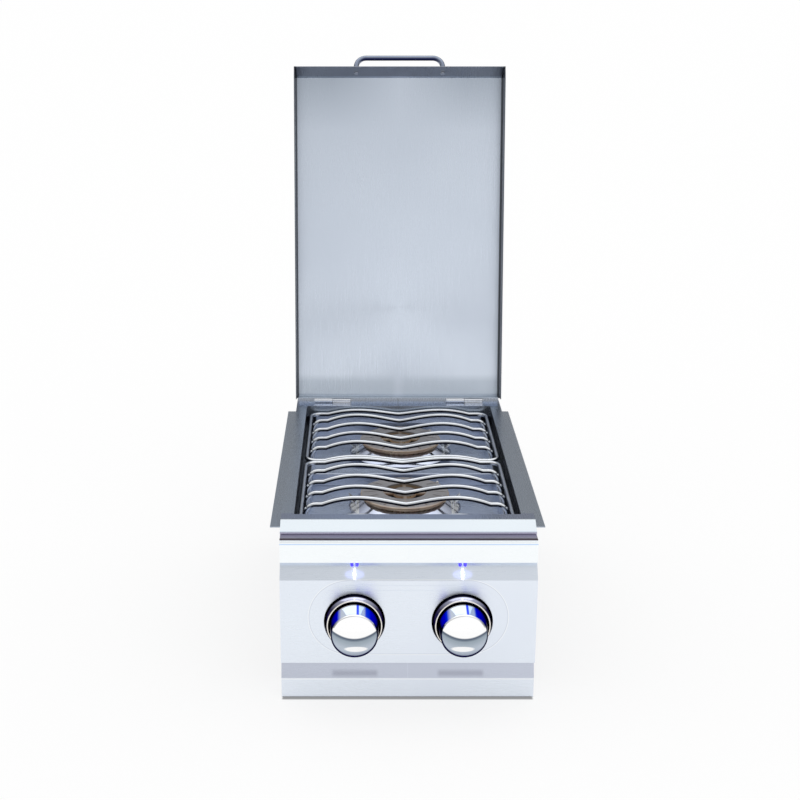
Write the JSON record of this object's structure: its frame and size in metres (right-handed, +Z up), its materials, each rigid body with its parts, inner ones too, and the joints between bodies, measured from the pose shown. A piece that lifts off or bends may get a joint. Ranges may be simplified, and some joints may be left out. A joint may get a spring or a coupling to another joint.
{
  "type": "built-in side burner",
  "caption": "Drop-in gas side burner for an outdoor kitchen counter, with lift-off wire grates, push-and-turn knobs, lamps and a hinged lid standing open.",
  "frame": {"origin": "middle of the firebox underside", "axes": "+Z up, +Y towards the back, away from the knobs, +X to the right of someone facing the knobs"},
  "size_m": [0.368, 0.7342, 0.7968],
  "materials": {
    "brushed_steel": "satin, brushed across",
    "panel_steel": "satin",
    "galvanised_sheet": "dull zinc-coated sheet",
    "pan_steel": "satin, slightly tinted by heat",
    "polished_steel": "polished stainless steel",
    "burner_brass": "satin, slightly darkened",
    "burner_casting": "as cast",
    "igniter_ceramic": "smooth",
    "gas_brass": "machined",
    "chrome": "mirror polished",
    "lamp_blue": "clear domed lens, lit blue",
    "zinc_fastener": "bright zinc"
  },
  "bodies": {
    "housing": {"top_frame": "brushed_steel", "left_counter_flange": "brushed_steel", "right_counter_flange": "brushed_steel", "control_panel": "panel_steel", "left_panel_end": "panel_steel", "right_panel_end": "panel_steel", "firebox_wrap": "galvanised_sheet", "firebox_front_wall": "galvanised_sheet", "firebox_rear_wall": "galvanised_sheet", "heat_shield": "galvanised_sheet", "front_venturi_tube": "galvanised_sheet", "rear_venturi_tube": "galvanised_sheet", "gas_pipe": "galvanised_sheet", "burner_pan": "pan_steel", "grate_support": "pan_steel", "front_drip_bowl": "polished_steel", "rear_drip_bowl": "polished_steel", "left_hinge_base": "polished_steel", "right_hinge_base": "polished_steel", "front_burner_ring": "burner_brass", "rear_burner_ring": "burner_brass", "front_burner_centre": "burner_brass", "rear_burner_centre": "burner_brass", "front_burner_base": "burner_casting", "rear_burner_base": "burner_casting", "front_igniter": "igniter_ceramic", "rear_igniter": "igniter_ceramic", "left_valve_body": "gas_brass", "right_valve_body": "gas_brass", "left_gas_jet": "gas_brass", "right_gas_jet": "gas_brass", "gas_pipe_plug": "gas_brass", "gas_inlet_fitting": "gas_brass", "left_bezel": "chrome", "right_bezel": "chrome", "left_lamp_pair": "lamp_blue", "right_lamp_pair": "lamp_blue", "left_hinge_pin": "zinc_fastener", "right_hinge_pin": "zinc_fastener", "left_flange_screw_front": "zinc_fastener", "left_flange_screw_rear": "zinc_fastener", "right_flange_screw_front": "zinc_fastener", "right_flange_screw_rear": "zinc_fastener"},
    "lid": {"lid_skin": "brushed_steel", "lid_handle": "chrome", "left_handle_screw": "zinc_fastener", "right_handle_screw": "zinc_fastener", "left_lid_hinge_leaf": "polished_steel", "right_lid_hinge_leaf": "polished_steel"},
    "front_grate": {"front_grate": "polished_steel"},
    "rear_grate": {"rear_grate": "polished_steel"},
    "left_valve_rotor": {"left_valve_plug": "gas_brass"},
    "left_knob": {"left_knob": "chrome", "left_valve_stem": "gas_brass"},
    "right_valve_rotor": {"right_valve_plug": "gas_brass"},
    "right_knob": {"right_knob": "chrome", "right_valve_stem": "gas_brass"}
  },
  "joints": [
    {"name": "lid_hinge", "type": "hinge", "parent": "housing", "child": "lid", "pos_m": [0, 0.2625, 0.2412], "axis": [-1, 0, 0], "range_deg": [-98.5, 0]},
    {"name": "front_grate_lift", "type": "slide", "parent": "housing", "child": "front_grate", "axis": [0, 0, 1], "range_m": [0, 0.05]},
    {"name": "rear_grate_lift", "type": "slide", "parent": "housing", "child": "rear_grate", "axis": [0, 0, 1], "range_m": [0, 0.05]},
    {"name": "left_knob_turn", "type": "hinge", "parent": "housing", "child": "left_valve_rotor", "pos_m": [-0.07077, -0.3235, 0.1142], "axis": [0, -1, 0], "range_deg": [0, 210]},
    {"name": "left_knob_push", "type": "slide", "parent": "left_valve_rotor", "child": "left_knob", "axis": [0, 1, 0], "range_m": [0, 0.004], "stiffness_N_per_m": 700},
    {"name": "right_knob_turn", "type": "hinge", "parent": "housing", "child": "right_valve_rotor", "pos_m": [0.07077, -0.3235, 0.1142], "axis": [0, -1, 0], "range_deg": [0, 210]},
    {"name": "right_knob_push", "type": "slide", "parent": "right_valve_rotor", "child": "right_knob", "axis": [0, 1, 0], "range_m": [0, 0.004], "stiffness_N_per_m": 700}
  ]
}
